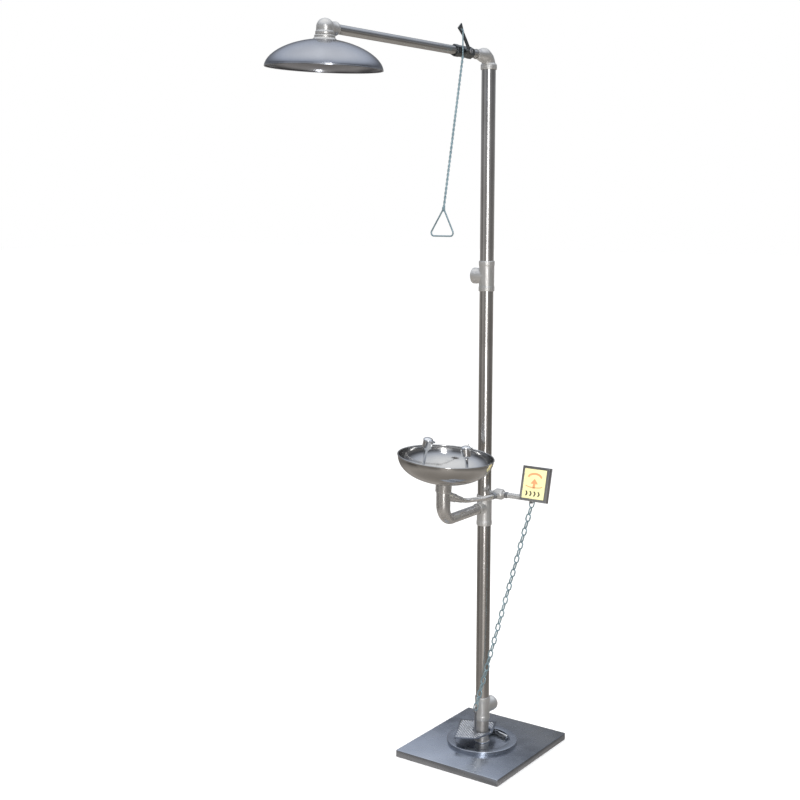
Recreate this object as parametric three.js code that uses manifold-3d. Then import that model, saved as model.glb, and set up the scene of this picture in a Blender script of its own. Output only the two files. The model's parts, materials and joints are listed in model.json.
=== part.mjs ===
// Emergency safety shower with an eyewash on the same column.
// Millimetres, +Z up. The origin is under the column, on the floor. The user stands at -Y and
// faces +Y, with +X on the right hand. The shower arm and the eyewash reach out towards -Y, the
// water comes in at -X and the waste water leaves at +Y.
import * as THREE from 'three';
import { mergeVertices } from 'three/addons/utils/BufferGeometryUtils.js';
import Module from 'manifold-3d';

const wasm = await Module();
wasm.setup();

const degrees = THREE.MathUtils.degToRad;

// ---- driving dimensions ------------------------------------------------------------------------

const GAP = 0.3; // between separate pieces that bear on each other

const BASE = { width: 375, depth: 430, height: 23, sheet: 3, lip: 22, rib: 60 };
const FLANGE = { radius: 113, rimWidth: 25, rimHeight: 12, web: 3, hubRadius: 25, hubHeight: 5 };

const COLUMN = { radius: 21.2, bore: 18.7 };
const PIPE_WALL = COLUMN.radius - COLUMN.bore;
const ARM = { radius: 12.5, bore: 10.5, height: 2171 };
const SOCKET = { bore: COLUMN.radius + GAP, radius: 24.5, body: 23.4, depth: 16, ring: 14 };

const DRAIN_TEE = { height: 137, half: 39, branch: 57 };
const BOWL_TEE = { height: 798, half: 40, below: 58, branch: 44, pipe: 15.5 };
const INLET_TEE = { height: 1519.5, half: 46.5, branch: 46 };

const TOP_ELBOW = { bend: 28, bottom: 2132, radius: 20, mouth: -74 };
const SHOWER_VALVE = { y: -146, half: 45, radius: 16.5, ball: 12.5, port: 7 };
const LEVER = { x: 24, thick: 3, tilt: 40, hole: 72, length: 85, holeRadius: 4 };

const PULL_ROD = { x: 31.5, wire: 2.2, twist: 3.6, kneeHeight: 2152, foot: -287, apex: 1722 };
const HANDLE_TRIANGLE = { side: 104, height: 76, corner: 9, shift: -7 };

const HEAD = { y: -777, reach: 42, tilt: 2.9, rim: 2070, radius: 150, height: 73, sheet: 2, roundness: 1.8 };
const BOWL = { y: -233, rim: 997, radius: 143, depth: 80, sheet: 2, roundness: 2.1, hole: 19, lean: 4.5 };
const LEAN_HEIGHT = BOWL.rim - BOWL.depth - 25; // the bowl leans about this point of its leg
const DRAIN_LEG = { bend: 47, top: 893.5 };
const SUPPLY = { height: 879, slope: 18.6, boss: 45, nut: 106, radius: 7.2, bore: 6 };

const NOZZLE = { x: 71, height: 1006, lean: 9, radius: 14.5, tall: 32 };

const EYE_VALVE = { x: 54, z: 846, radius: 17, ball: 12, port: 4.5 };
const PUSH = {
  lean: 14, left: 130, width: 92, below: 8, tall: 107, deep: 18, sheet: 2, border: 8, travel: 42,
};
const EAR = { x: 158, reach: 27, angle: -22, holeRadius: 6.5, radius: 11, thick: 2.5 };

const PEDAL = { turn: -16, rodHeight: 35, rodBehind: 69, rod: 4.5, sleeve: 6.8 };
const TREAD = {
  corner: [-41, -102], turn: 24.7, width: 118, depth: 150, top: 62, thick: 4, hole: 26,
  slant: 8, cutWidth: 43, cutDepth: 54, taper: 3,
};
const PEDAL_EYE = { x: 5, y: -49, z: 145 };
const CHAIN = { links: 31, wire: 1.9, width: 18, bite: 0.2, offset: 1.8 };

// ---- materials ---------------------------------------------------------------------------------

function metal(name, color, roughness) {
  return new THREE.MeshStandardMaterial({ name, color, roughness, metalness: 1 });
}

const POLISHED = metal('polished_steel', 0xc9cacb, 0.18);
const CAST = metal('cast_steel', 0xb6b3ae, 0.42);
const SATIN = metal('satin_steel', 0x9aa0a6, 0.35);
const CHROME = metal('chrome', 0xdadcde, 0.08);
const GALVANISED = metal('galvanised_steel', 0x8fa5ae, 0.45);
const SEAL = new THREE.MeshStandardMaterial({ name: 'seal', color: 0xeeeeea, roughness: 0.6 });
const LABEL = new THREE.MeshStandardMaterial({ name: 'label', color: 0xf2e58a, roughness: 0.5 });

// ---- joining and cutting -----------------------------------------------------------------------

function signedVolume(positions, index) {
  const [a, b, c] = [new THREE.Vector3(), new THREE.Vector3(), new THREE.Vector3()];
  let volume = 0;
  for (let i = 0; i < index.length; i += 3) {
    a.fromArray(positions, 3 * index[i]);
    b.fromArray(positions, 3 * index[i + 1]);
    c.fromArray(positions, 3 * index[i + 2]);
    volume += a.dot(b.cross(c));
  }
  return volume;
}

function toSolid(geometry) {
  const bare = geometry.clone();
  bare.deleteAttribute('normal');
  bare.deleteAttribute('uv');
  const merged = mergeVertices(bare, 1e-3);
  const positions = merged.attributes.position.array;
  const index = Array.from(merged.index.array);
  const kept = [];
  for (let i = 0; i < index.length; i += 3) {
    const [a, b, c] = index.slice(i, i + 3);
    if (a !== b && b !== c && c !== a) kept.push(a, b, c);
  }
  if (signedVolume(positions, kept) < 0) kept.reverse();
  const mesh = new wasm.Mesh({
    numProp: 3,
    vertProperties: new Float32Array(positions),
    triVerts: new Uint32Array(kept),
  });
  return new wasm.Manifold(mesh);
}

function toGeometry(solid) {
  const mesh = solid.getMesh();
  const geometry = new THREE.BufferGeometry();
  geometry.setAttribute('position', new THREE.BufferAttribute(mesh.vertProperties, 3));
  geometry.setIndex(new THREE.BufferAttribute(mesh.triVerts, 1));
  return geometry;
}

function join(...pieces) {
  return toGeometry(pieces.map(toSolid).reduce((whole, piece) => whole.add(piece)));
}

function cut(body, ...tools) {
  return toGeometry(tools.map(toSolid).reduce((rest, tool) => rest.subtract(tool), toSolid(body)));
}

// ---- plain shapes ------------------------------------------------------------------------------

const UP = new THREE.Vector3(0, 0, 1);

// Turns a shape made along Z so that it runs along the given axis.
function along(axis, geometry) {
  if (axis === 'x') geometry.rotateY(Math.PI / 2);
  if (axis === 'y') geometry.rotateX(-Math.PI / 2);
  return geometry;
}

// A solid of revolution about Z. The outline holds [radius, height] pairs.
function turned(outline, sides = 20) {
  const points = outline.map(([radius, height]) => new THREE.Vector2(radius, height));
  return new THREE.LatheGeometry(points, sides).rotateX(Math.PI / 2);
}

function rod(radius, from, to, sides = 20) {
  return turned([[0, from], [radius, from], [radius, to], [0, to]], sides);
}

function tube(radius, bore, from, to, sides = 20) {
  return turned([[bore, from], [radius, from], [radius, to], [bore, to], [bore, from]], sides);
}

function hexagon(acrossFlats, bore, from, to) {
  const outside = rod(acrossFlats / Math.sqrt(3), from, to, 6);
  return cut(outside, rod(bore, from - 1, to + 1, 12));
}

function block(low, high) {
  const size = high.map((value, i) => value - low[i]);
  const geometry = new THREE.BoxGeometry(...size);
  return geometry.translate(...low.map((value, i) => value + size[i] / 2));
}

function circle(radius, sides) {
  const shape = new THREE.Shape();
  for (let i = 0; i < sides; i += 1) {
    const angle = (2 * Math.PI * i) / sides;
    const point = [radius * Math.cos(angle), radius * Math.sin(angle)];
    if (i === 0) shape.moveTo(...point);
    else shape.lineTo(...point);
  }
  shape.closePath();
  return shape;
}

// Straight runs joined by round bends, with points only where the path turns.
class BentPath extends THREE.Curve {
  constructor(corners, bend, bendSteps = 4) {
    super();
    const points = corners.map((corner) => new THREE.Vector3(...corner));
    this.stations = [points[0]];
    for (let i = 1; i < points.length - 1; i += 1) {
      this.addBend(points[i - 1], points[i], points[i + 1], bend, bendSteps);
    }
    this.stations.push(points.at(-1));
  }

  addBend(before, corner, after, bend, steps) {
    const arriving = corner.clone().sub(before).normalize();
    const leaving = after.clone().sub(corner).normalize();
    const turn = arriving.angleTo(leaving);
    const setback = bend * Math.tan(turn / 2);
    const start = corner.clone().addScaledVector(arriving, -setback);
    const spin = new THREE.Vector3().crossVectors(arriving, leaving).normalize();
    const inward = new THREE.Vector3().crossVectors(spin, arriving);
    const centre = start.clone().addScaledVector(inward, bend);
    for (let i = 0; i <= steps; i += 1) {
      const arm = start.clone().sub(centre).applyAxisAngle(spin, (turn * i) / steps);
      this.stations.push(centre.clone().add(arm));
    }
  }

  getPoint(t) {
    return this.stations[Math.round(t * (this.stations.length - 1))].clone();
  }

  getPointAt(u) {
    return this.getPoint(u);
  }

  getTangentAt(u) {
    const last = this.stations.length - 1;
    const i = Math.round(u * last);
    const back = this.stations[Math.max(i - 1, 0)];
    const ahead = this.stations[Math.min(i + 1, last)];
    const here = this.stations[i];
    const sum = new THREE.Vector3();
    if (i > 0) sum.add(here.clone().sub(back).normalize());
    if (i < last) sum.add(ahead.clone().sub(here).normalize());
    return sum.normalize();
  }
}

function swept(path, steps, radius, sides = 12) {
  const options = { steps, extrudePath: path, bevelEnabled: false };
  return new THREE.ExtrudeGeometry(circle(radius, sides), options);
}

function bent(corners, bend, radius, sides = 12) {
  const path = new BentPath(corners, bend);
  return swept(path, path.stations.length - 1, radius, sides);
}

// ---- the scene ---------------------------------------------------------------------------------

const shower = new THREE.Group();

function add(name, geometry, material, parent = shower) {
  const mesh = new THREE.Mesh(geometry, material);
  mesh.name = name;
  parent.add(mesh);
  return mesh;
}

function groupAt(position, parent = shower) {
  const group = new THREE.Group();
  group.position.set(...position);
  parent.add(group);
  return group;
}

// ---- base and column ---------------------------------------------------------------------------

// A folded tray with its open side down, lips turned in along the floor and two crossed ribs.
function basePlate() {
  const { width, depth, height, sheet, lip, rib } = BASE;
  const [x, y] = [width / 2, depth / 2];
  const outside = block([-x, -y, 0], [x, y, height]);
  const hollow = block([sheet - x, sheet - y, sheet], [x - sheet, y - sheet, height - sheet]);
  const opening = block([lip - x, lip - y, -1], [x - lip, y - lip, sheet + 1]);
  const ribs = join(
    block([sheet / 2 - x, -rib / 2, 0], [x - sheet / 2, rib / 2, height - sheet / 2]),
    block([-rib / 2, sheet / 2 - y, 0], [rib / 2, y - sheet / 2, height - sheet / 2]),
  );
  return join(cut(outside, hollow, opening), ribs);
}

function floorFlange() {
  const { radius, rimWidth, rimHeight, web, hubRadius, hubHeight } = FLANGE;
  const inner = radius - rimWidth;
  const outline = [
    [0, 0], [radius, 0], [radius, rimHeight], [inner, rimHeight], [inner, web],
    [hubRadius, web], [hubRadius, hubHeight], [SOCKET.bore, hubHeight], [SOCKET.bore, web], [0, web],
  ];
  return turned(outline, 36);
}

function pipe(from, to) {
  return tube(COLUMN.radius, COLUMN.bore, from, to);
}

// The bore of a socket: narrow between the pipes' ends and wider where they are let in.
function socketBore(from, to, fromMouth, pipeRadius = COLUMN.radius) {
  const { depth } = SOCKET;
  const bore = pipeRadius + GAP;
  const inner = pipeRadius - PIPE_WALL;
  const near = fromMouth ? [[0, from - 1], [bore, from - 1], [bore, from + depth]] : [[0, from]];
  const far = [[inner, to - depth], [bore, to - depth], [bore, to + 1], [0, to + 1]];
  return turned([...near, [inner, near.at(-1)[1]], ...far]);
}

// A tee with its run along Z and its branch along +Y, with a thicker ring at each mouth.
function tee({ half, below = half, branch, pipe: branchPipe = COLUMN.radius }) {
  const { radius, ring, body } = SOCKET;
  const [sideRadius, sideBody] = [radius, body].map((size) => size - COLUMN.radius + branchPipe);
  const run = turned([
    [0, -below], [radius, -below], [radius, ring - below], [body, ring - below],
    [body, half - ring], [radius, half - ring], [radius, half], [0, half],
  ]);
  const side = turned([
    [0, 0], [sideBody, 0], [sideBody, branch - ring], [sideRadius, branch - ring],
    [sideRadius, branch], [0, branch],
  ]);
  return cut(
    join(run, along('y', side)),
    socketBore(-below, half, true),
    along('y', socketBore(0, branch, false, branchPipe)),
  );
}

function placeTee(name, spec, turn) {
  const mesh = add(name, tee(spec), CAST);
  mesh.position.z = spec.height;
  mesh.rotation.z = degrees(turn);
}

function socketTop(spec) {
  return spec.height + spec.half - SOCKET.depth + GAP;
}

function socketBottom({ height, half, below = half }) {
  return height - below + SOCKET.depth - GAP;
}

// The pipe above the bowl's tee also feeds the eyewash valve through a hole in its +X side.
function upperRiser() {
  const hole = along('x', rod(7.8, 0, COLUMN.radius + 5, 16)).translate(0, 0, EYE_VALVE.z);
  return cut(pipe(socketTop(BOWL_TEE), socketBottom(INLET_TEE)), hole);
}

function buildColumn() {
  const flangeTop = BASE.height + FLANGE.web;
  add('base_plate', basePlate(), POLISHED);
  add('floor_flange', floorFlange(), POLISHED).position.z = BASE.height;
  add('riser_lower', pipe(flangeTop + GAP, socketBottom(DRAIN_TEE)), POLISHED);
  placeTee('drain_tee', DRAIN_TEE, 0);
  add('riser_middle', pipe(socketTop(DRAIN_TEE), socketBottom(BOWL_TEE)), POLISHED);
  placeTee('bowl_tee', BOWL_TEE, 180);
  const plugFrom = BOWL_TEE.height + COLUMN.bore + 0.5;
  add('blanking_plug', rod(COLUMN.bore - GAP, plugFrom, socketTop(BOWL_TEE) - GAP), SEAL);
  add('riser_upper', upperRiser(), POLISHED);
  placeTee('inlet_tee', INLET_TEE, 90);
  const elbowSeat = TOP_ELBOW.bottom + SOCKET.ring - GAP;
  add('riser_top', pipe(socketTop(INLET_TEE), elbowSeat), POLISHED);
}

// ---- shower arm and its valve ------------------------------------------------------------------

// The elbow turns from the column to -Y and narrows in a flare to the thinner arm.
function topElbow() {
  const { bend, bottom, radius, mouth } = TOP_ELBOW;
  const flareStart = bend + 8;
  const flareLength = 22;
  const mouthRadius = ARM.radius + 2.5;
  const corners = [[0, 0, bottom], [0, 0, ARM.height], [0, -flareStart, ARM.height]];
  const flare = [[0, bend], [radius, bend], [radius, flareStart]];
  const steps = 5;
  for (let i = 1; i <= steps; i += 1) {
    const t = i / steps;
    const narrow = (1 + Math.cos(Math.PI * t)) / 2;
    flare.push([mouthRadius + (radius - mouthRadius) * narrow, flareStart + t * flareLength]);
  }
  flare.push([mouthRadius, -mouth], [0, -mouth]);
  const flareBody = along('y', turned(flare)).rotateZ(Math.PI).translate(0, 0, ARM.height);
  const seatTop = bottom + SOCKET.ring;
  const collar = turned([
    [0, bottom], [SOCKET.radius, bottom], [SOCKET.radius, seatTop], [radius, seatTop + 5], [0, seatTop + 5],
  ]);
  const seam = along('y', rod(radius + 1.5, bend - 6, bend + 6)).rotateZ(Math.PI);
  return cut(
    join(bent(corners, bend, radius, 20), flareBody, collar, seam.translate(0, 0, ARM.height)),
    rod(SOCKET.bore, bottom - 1, seatTop),
    bent([[0, 0, bottom], [0, 0, ARM.height], [0, mouth + 14, ARM.height]], bend, ARM.bore, 12),
    along('y', rod(ARM.radius + GAP, 0, 15)).translate(0, mouth - 1, ARM.height),
  );
}

function alongArm(geometry) {
  return along('y', geometry).translate(0, 0, ARM.height);
}

function valveBody() {
  const { half, radius, ball } = SHOWER_VALVE;
  const waist = 24;
  const boss = along('x', rod(9, 0, 17, 20));
  const outside = join(
    along('y', rod(radius, -waist, waist, 20)),
    along('y', rod(18, -half, -waist + 1, 6)),
    along('y', rod(18, waist - 1, half, 6)),
    boss,
  );
  const seatRoom = ball + 4;
  return cut(
    outside,
    along('y', rod(ball + GAP, -seatRoom, seatRoom)),
    along('y', rod(ARM.bore - 1, -half - 1, half + 1, 16)),
    along('y', rod(ARM.radius + GAP, -half - 1, 12 - half)),
    along('y', rod(ARM.radius + GAP, half - 12, half + 1)),
    along('x', rod(4.3, 0, 30, 12)),
  );
}

// The hollow that a ball turns in: wide enough for the ball's corners to pass its flats.
function ballRoom(ball) {
  return new THREE.SphereGeometry(ball + 3 * GAP, 12, 8);
}

// A ball with a straight port; at rest the port stands across the flow, so the valve is shut.
function straightBall() {
  const { ball, port } = SHOWER_VALVE;
  return cut(
    new THREE.SphereGeometry(ball, 12, 8),
    rod(port, -ball - 1, ball + 1, 12),
    along('x', rod(4.3, 8, ball + 1, 12)),
  );
}

function seatRing() {
  const { ball, port } = SHOWER_VALVE;
  return cut(along('y', tube(ball, port, ball - 3, ball + 3.7, 16)), ballRoom(ball));
}

// The lever is a flat bar with a round foot, a narrow neck and a wide tip.
function lever() {
  const { thick, hole, length, holeRadius } = LEVER;
  const foot = 10;
  const neck = 6;
  const tip = 12;
  const shape = new THREE.Shape();
  shape.absarc(0, 0, foot, degrees(35), degrees(325), false);
  shape.lineTo(30, -neck);
  shape.lineTo(hole - 14, -neck);
  shape.lineTo(length, -tip);
  shape.lineTo(length, tip);
  shape.lineTo(hole - 14, neck);
  shape.lineTo(30, neck);
  const bar = new THREE.ExtrudeGeometry(shape, { depth: thick, bevelEnabled: false, curveSegments: 7 });
  const holes = [rod(4.3, -1, thick + 1, 12), rod(holeRadius, -1, thick + 1, 12).translate(hole, 0, 0)];
  return cut(bar, ...holes);
}

function leverHole() {
  const tilt = degrees(LEVER.tilt);
  return [SHOWER_VALVE.y - LEVER.hole * Math.sin(tilt), ARM.height + LEVER.hole * Math.cos(tilt)];
}

// Wire hooked through the lever, hanging beside the arm, then a twisted pair down to the handle.
function pullRod() {
  const { x, wire, twist, kneeHeight, foot, apex } = PULL_ROD;
  const { side, height, corner, shift } = HANDLE_TRIANGLE;
  const [holeY, holeZ] = leverHole();
  const hook = bent([[LEVER.x - 5, holeY, holeZ], [x, holeY, holeZ], [x, holeY, kneeHeight]], 3.5, wire, 8);
  const pair = bent([[x, holeY, kneeHeight + 2], [x, foot, apex - 1]], 1, twist, 8);
  const bottom = apex - height;
  const left = x + shift - side / 2;
  const right = x + shift + side / 2;
  const halfLoop = (end) => bent(
    [[x, foot, apex], [end, foot, bottom], [x, foot, bottom]], corner, wire, 8,
  );
  const knot = new THREE.SphereGeometry(twist + 0.6, 10, 6).translate(x, foot, apex);
  const weld = new THREE.SphereGeometry(wire + 0.2, 8, 6).translate(x, foot, bottom);
  return join(hook, pair, halfLoop(left), halfLoop(right), knot, weld);
}

function buildShowerValve() {
  const { y, half } = SHOWER_VALVE;
  add('top_elbow', topElbow(), CAST);
  const nipple = tube(ARM.radius, ARM.bore, y + half - 11.7, TOP_ELBOW.mouth + 13, 24);
  add('arm_nipple', alongArm(nipple), POLISHED);
  const valve = groupAt([0, y, ARM.height]);
  add('shower_valve_body', valveBody(), SATIN, valve);
  add('shower_valve_ball', straightBall(), CHROME, valve);
  add('shower_seat_inlet', seatRing(), SEAL, valve);
  add('shower_seat_outlet', seatRing().rotateX(Math.PI), SEAL, valve);
  const tail = LEVER.x + LEVER.thick;
  add('shower_valve_stem', along('x', rod(4, 8.3, tail + 5, 12)), SATIN, valve);
  add('shower_gland_nut', along('x', hexagon(16, 4.3, 17.3, LEVER.x - 0.5)), SATIN, valve);
  add('lever_nut', along('x', hexagon(13, 4.3, tail + GAP, tail + 5)), SATIN, valve);
  const bar = lever().rotateZ(degrees(LEVER.tilt)).rotateY(-Math.PI / 2).rotateZ(Math.PI);
  const mesh = add('shower_lever', bar, SATIN, valve);
  mesh.position.x = LEVER.x;
  add('pull_rod', pullRod(), GALVANISED);
}

// ---- shower head -------------------------------------------------------------------------------

// A quarter of a superellipse, from the rim [radius, 0] to the crown at [inner, height].
function domeCurve(radius, height, inner, roundness, steps) {
  const points = [];
  const last = Math.acos((inner / radius) ** (roundness / 2));
  for (let i = 0; i <= steps; i += 1) {
    const angle = (last * i) / steps;
    const across = radius * Math.cos(angle) ** (2 / roundness);
    points.push([across, height * Math.sin(angle) ** (2 / roundness)]);
  }
  return points;
}

// A pressed dome open below, with its neck collar on top.
function showerHead() {
  const { radius, height, sheet, roundness } = HEAD;
  const hole = 18;
  const outside = domeCurve(radius, height, hole, roundness, 6);
  const inside = domeCurve(radius - sheet, height - sheet, hole, roundness, 6).reverse();
  const dome = turned([...outside, ...inside, outside[0]], 30);
  const collar = turned(
    [[hole, height - 3], [29, height - 3], [26.5, height + 3], [26.5, height + 9], [hole, height + 9],
      [hole, height - 3]],
    30,
  );
  return join(dome, collar);
}

// A perforated plate on a short hub that hangs in the neck.
function sprayPlate() {
  const plate = rod(58, 44, 47, 28);
  const hub = tube(17.5, 13.5, 46, HEAD.height + 6);
  const holes = [];
  for (let i = 0; i < 6; i += 1) {
    const angle = degrees(60 * i);
    holes.push(rod(2.5, 43, 48, 6).translate(8 * Math.cos(angle), 8 * Math.sin(angle), 0));
  }
  return cut(join(plate, hub), rod(2.5, 43, 48, 6), ...holes);
}

// The origin is where the elbow's two runs meet; the head hangs below it.
function headElbow() {
  const { reach } = HEAD;
  const low = HEAD.rim + HEAD.height + 9 + GAP - ARM.height;
  const outside = join(
    rod(24.5, low, low + 8),
    rod(22.5, low, 0),
    new THREE.SphereGeometry(22.5, 20, 12),
    along('y', rod(16.5, 0, reach)),
    along('y', rod(18, reach - 9, reach)),
  );
  return cut(
    outside,
    rod(ARM.radius, low - 9, 0, 16),
    along('y', rod(ARM.bore, 0, reach + 1, 16)),
    along('y', rod(ARM.radius + GAP, reach - 12, reach + 1)),
  );
}

// The elbow is screwed round a little past upright, so the head hangs slightly tilted.
function buildShowerHead() {
  const { y, half } = SHOWER_VALVE;
  const arm = tube(ARM.radius, ARM.bore, HEAD.y + HEAD.reach - 11.5, y - half + 11.7);
  add('shower_arm', alongArm(arm), POLISHED);
  const tilted = groupAt([0, HEAD.y, ARM.height]);
  tilted.rotation.y = degrees(HEAD.tilt);
  add('head_elbow', headElbow(), CAST, tilted);
  const head = groupAt([0, 0, HEAD.rim - ARM.height], tilted);
  add('shower_head', showerHead(), POLISHED, head);
  add('spray_plate', sprayPlate(), SATIN, head);
}

// ---- eyewash bowl and its pipes ----------------------------------------------------------------

function eyewashBowl() {
  const { radius, depth, sheet, roundness, hole } = BOWL;
  const outside = domeCurve(radius, -depth, hole, roundness, 6);
  const inside = domeCurve(radius - sheet, sheet - depth, hole, roundness, 6).reverse();
  const shell = turned([...outside, ...inside, outside[0]], 30);
  const bead = turned(
    [[radius - 3, 0], [radius - 1, -2], [radius + 2, -1.5], [radius + 2, 1.5], [radius - 1, 2.5],
      [radius - 3, 0]],
    30,
  );
  return join(shell, bead);
}

// The grate sits in the bottom of the bowl; its neck passes down into the locknut.
function bowlStrainer() {
  const holes = [];
  for (let i = 0; i < 6; i += 1) {
    const angle = degrees(60 * i);
    holes.push(rod(2.4, 3, 8, 6).translate(12 * Math.cos(angle), 12 * Math.sin(angle), 0));
  }
  const neck = tube(18.5, 15.8, -21, 5);
  return cut(join(rod(28, 4.4, 6.8), neck), rod(8.3, -22, 8, 16), ...holes);
}

function bowlLocknut() {
  const pipeRoom = SOCKET.bore + 0.5;
  return turned([
    [pipeRoom, -28], [24.3, -28], [24.3, -3], [18.8, -3], [18.8, -21.5], [pipeRoom, -21.5],
    [pipeRoom, -28],
  ]);
}

// A bent bar that keeps one radius up to its bend and narrows through it to another.
function taperedBend(corners, bend, wide, narrow, sides) {
  const path = new BentPath(corners, bend);
  const { stations } = path;
  const last = stations.length - 1;
  const geometry = swept(path, last, 1, sides);
  const position = geometry.attributes.position;
  const point = new THREE.Vector3();
  for (let i = 0; i < position.count; i += 1) {
    point.fromBufferAttribute(position, i);
    const distances = stations.map((station) => station.distanceTo(point));
    const nearest = distances.indexOf(Math.min(...distances));
    const share = THREE.MathUtils.clamp((nearest - 1) / (last - 2), 0, 1);
    const radius = THREE.MathUtils.lerp(wide, narrow, share);
    point.sub(stations[nearest]).multiplyScalar(radius).add(stations[nearest]);
    position.setXYZ(i, point.x, point.y, point.z);
  }
  return geometry;
}

// Down from the bowl and round to the tee on the column, in a thinner pipe after the bend.
function drainLeg() {
  const { bend, top } = DRAIN_LEG;
  const end = -BOWL_TEE.branch + SOCKET.depth - GAP;
  const corners = (over) => [
    [0, BOWL.y, top + over], [0, BOWL.y, BOWL_TEE.height], [0, end + over, BOWL_TEE.height],
  ];
  return cut(
    taperedBend(corners(0), bend, COLUMN.radius, BOWL_TEE.pipe, 20),
    taperedBend(corners(1), bend, COLUMN.bore, BOWL_TEE.pipe - PIPE_WALL, 20),
    onSupplyAxis(rod(7.4, 0, COLUMN.radius + 5, 16)),
  );
}

// Moves a shape made along Z onto the line on which the supply enters, sloping down towards +Y.
function onSupplyAxis(geometry) {
  return along('y', geometry).rotateX(-degrees(SUPPLY.slope)).translate(0, BOWL.y, SUPPLY.height);
}

function supplyAxisPoint(distance) {
  const slope = degrees(SUPPLY.slope);
  return [0, BOWL.y + distance * Math.cos(slope), SUPPLY.height - distance * Math.sin(slope)];
}

// The supply comes in through the side of the drain leg and rises inside it, then leans with the
// bowl up to the nozzles.
function supplyRiser() {
  const low = SUPPLY.height - 9;
  const top = BOWL.rim - BOWL.depth + 17;
  const upright = (radius, from) => rod(radius, from, LEAN_HEIGHT + 1, 16).translate(0, BOWL.y, 0);
  const leaning = (radius, to) => rod(radius, -1, to - LEAN_HEIGHT, 16)
    .rotateY(degrees(BOWL.lean)).translate(0, BOWL.y, LEAN_HEIGHT);
  return cut(
    join(upright(8, low), leaning(8, top), onSupplyAxis(rod(7, 0, SUPPLY.boss - 5, 16))),
    upright(6, low + 2),
    leaning(6, top + 1),
    onSupplyAxis(rod(5, 0, SUPPLY.boss, 16)),
  );
}

function sideBoss() {
  const outside = turned([[0, 12], [15, 12], [15, 36], [13.5, SUPPLY.boss], [0, SUPPLY.boss]], 20);
  const leg = rod(COLUMN.radius + GAP, -40, 40).translate(0, BOWL.y, SUPPLY.height);
  return cut(onSupplyAxis(outside), leg, onSupplyAxis(rod(7.3, 0, SUPPLY.boss + 1, 16)));
}

// A long tapering nut that holds the end of the supply tube.
function taperNut() {
  const bore = SUPPLY.radius + 2 * GAP;
  const start = SUPPLY.boss + GAP;
  const outline = [
    [bore, start], [13.5, start], [13.5, start + 20], [11.5, start + 24], [bore + 1.5, SUPPLY.nut],
    [bore, SUPPLY.nut], [bore, start],
  ];
  return onSupplyAxis(turned(outline, 20));
}

function supplyTube() {
  const { x, z } = EYE_VALVE;
  const corners = (over) => [
    supplyAxisPoint(72 - over), supplyAxisPoint(128.7), [x, -58, z], [x, -17 + over, z],
  ];
  return cut(bent(corners(0), 35, SUPPLY.radius, 12), bent(corners(1), 35, SUPPLY.bore, 12));
}

// Two arms reach out from a hub and rise, leaning in, to the nozzles.
function nozzleManifold() {
  const low = BOWL.rim - BOWL.depth + 12;
  const hubTop = low + 22;
  const lean = Math.tan(degrees(NOZZLE.lean));
  const elbowHeight = low + 12;
  const spread = NOZZLE.x + lean * (NOZZLE.height - elbowHeight);
  const arm = (side, radius, from) => bent(
    [[from * side, 0, elbowHeight], [spread * side, 0, elbowHeight], [NOZZLE.x * side, 0, NOZZLE.height]],
    18, radius, 10,
  );
  const outside = join(rod(11.5, low, hubTop, 20), arm(-1, 5.5, 2), arm(1, 5.5, 2));
  const bores = [arm(-1, 4, 1), arm(1, 4, 1)];
  return cut(outside, rod(8.3, low - 1, low + 8, 16), rod(5, low, hubTop - 3, 12), ...bores);
}

function nozzleCup() {
  const { radius, tall } = NOZZLE;
  const outline = [
    [5, 2], [9, 2], [9, 5], [radius - 1, 8], [radius, 10], [radius, tall], [radius - 2, tall],
    [radius - 2, tall - 6], [5, tall - 12], [5, 2],
  ];
  const lug = block([-4 - radius, -3, tall - 7], [2 - radius, 3, tall - 1]);
  const hollow = rod(radius - 1, tall - 8, tall + 1, 24);
  return join(turned(outline, 20), cut(lug, hollow));
}

function aerator() {
  const face = rod(NOZZLE.radius - 2.4, NOZZLE.tall - 5, NOZZLE.tall - 2, 16);
  const holes = [];
  for (let i = 0; i < 5; i += 1) {
    const angle = degrees(72 * i);
    const place = [7 * Math.cos(angle), 7 * Math.sin(angle), 0];
    holes.push(rod(1.8, NOZZLE.tall - 6, NOZZLE.tall, 6).translate(...place));
  }
  return cut(face, ...holes);
}

// The cap's hinge line runs along Y just outside the cup; a pointed tab stands on the domed lid.
function dustCap() {
  const { radius, tall } = NOZZLE;
  const brim = radius + 0.8;
  const lid = turned([[0, 0.5], [brim, 0.5], [brim, 3], [radius - 2, 6], [radius / 2, 8.5], [0, 9.5]], 24);
  const ears = join(
    block([-7.5 - radius, -6.5, -2.5], [1 - radius, -3.5, 3]),
    block([-7.5 - radius, 3.5, -2.5], [1 - radius, 6.5, 3]),
  );
  const spareCup = rod(radius + 0.5, -10, 0.4, 24);
  const tab = new THREE.ConeGeometry(3, 16, 8).rotateX(Math.PI / 2).translate(4 - radius, 0, 11);
  const pinHole = along('y', rod(1.5, -8, 8, 10)).translate(-5.5 - radius, 0, -0.5);
  return cut(join(lid, cut(ears, spareCup), tab), pinHole).translate(0, 0, tall);
}

// Each nozzle leans in towards the middle of the bowl, and both caps are hinged on the +X side.
function buildNozzle(side, name, bowlGroup) {
  const nozzle = groupAt([side * NOZZLE.x, 0, NOZZLE.height], bowlGroup);
  nozzle.rotation.y = -side * degrees(NOZZLE.lean);
  const half = groupAt([0, 0, -4], nozzle);
  half.rotation.z = Math.PI;
  add(`nozzle_${name}`, cut(nozzleCup(), rod(5.8, 1, 5, 16)), CHROME, half);
  add(`aerator_${name}`, aerator(), SEAL, half);
  add(`dust_cap_${name}`, dustCap(), CHROME, half);
  const { radius, tall } = NOZZLE;
  const pin = along('y', rod(1.2, -7.5, 7.5, 10)).translate(-5.5 - radius, 0, tall - 0.5);
  add(`cap_pin_${name}`, pin, CHROME, half);
}

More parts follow.
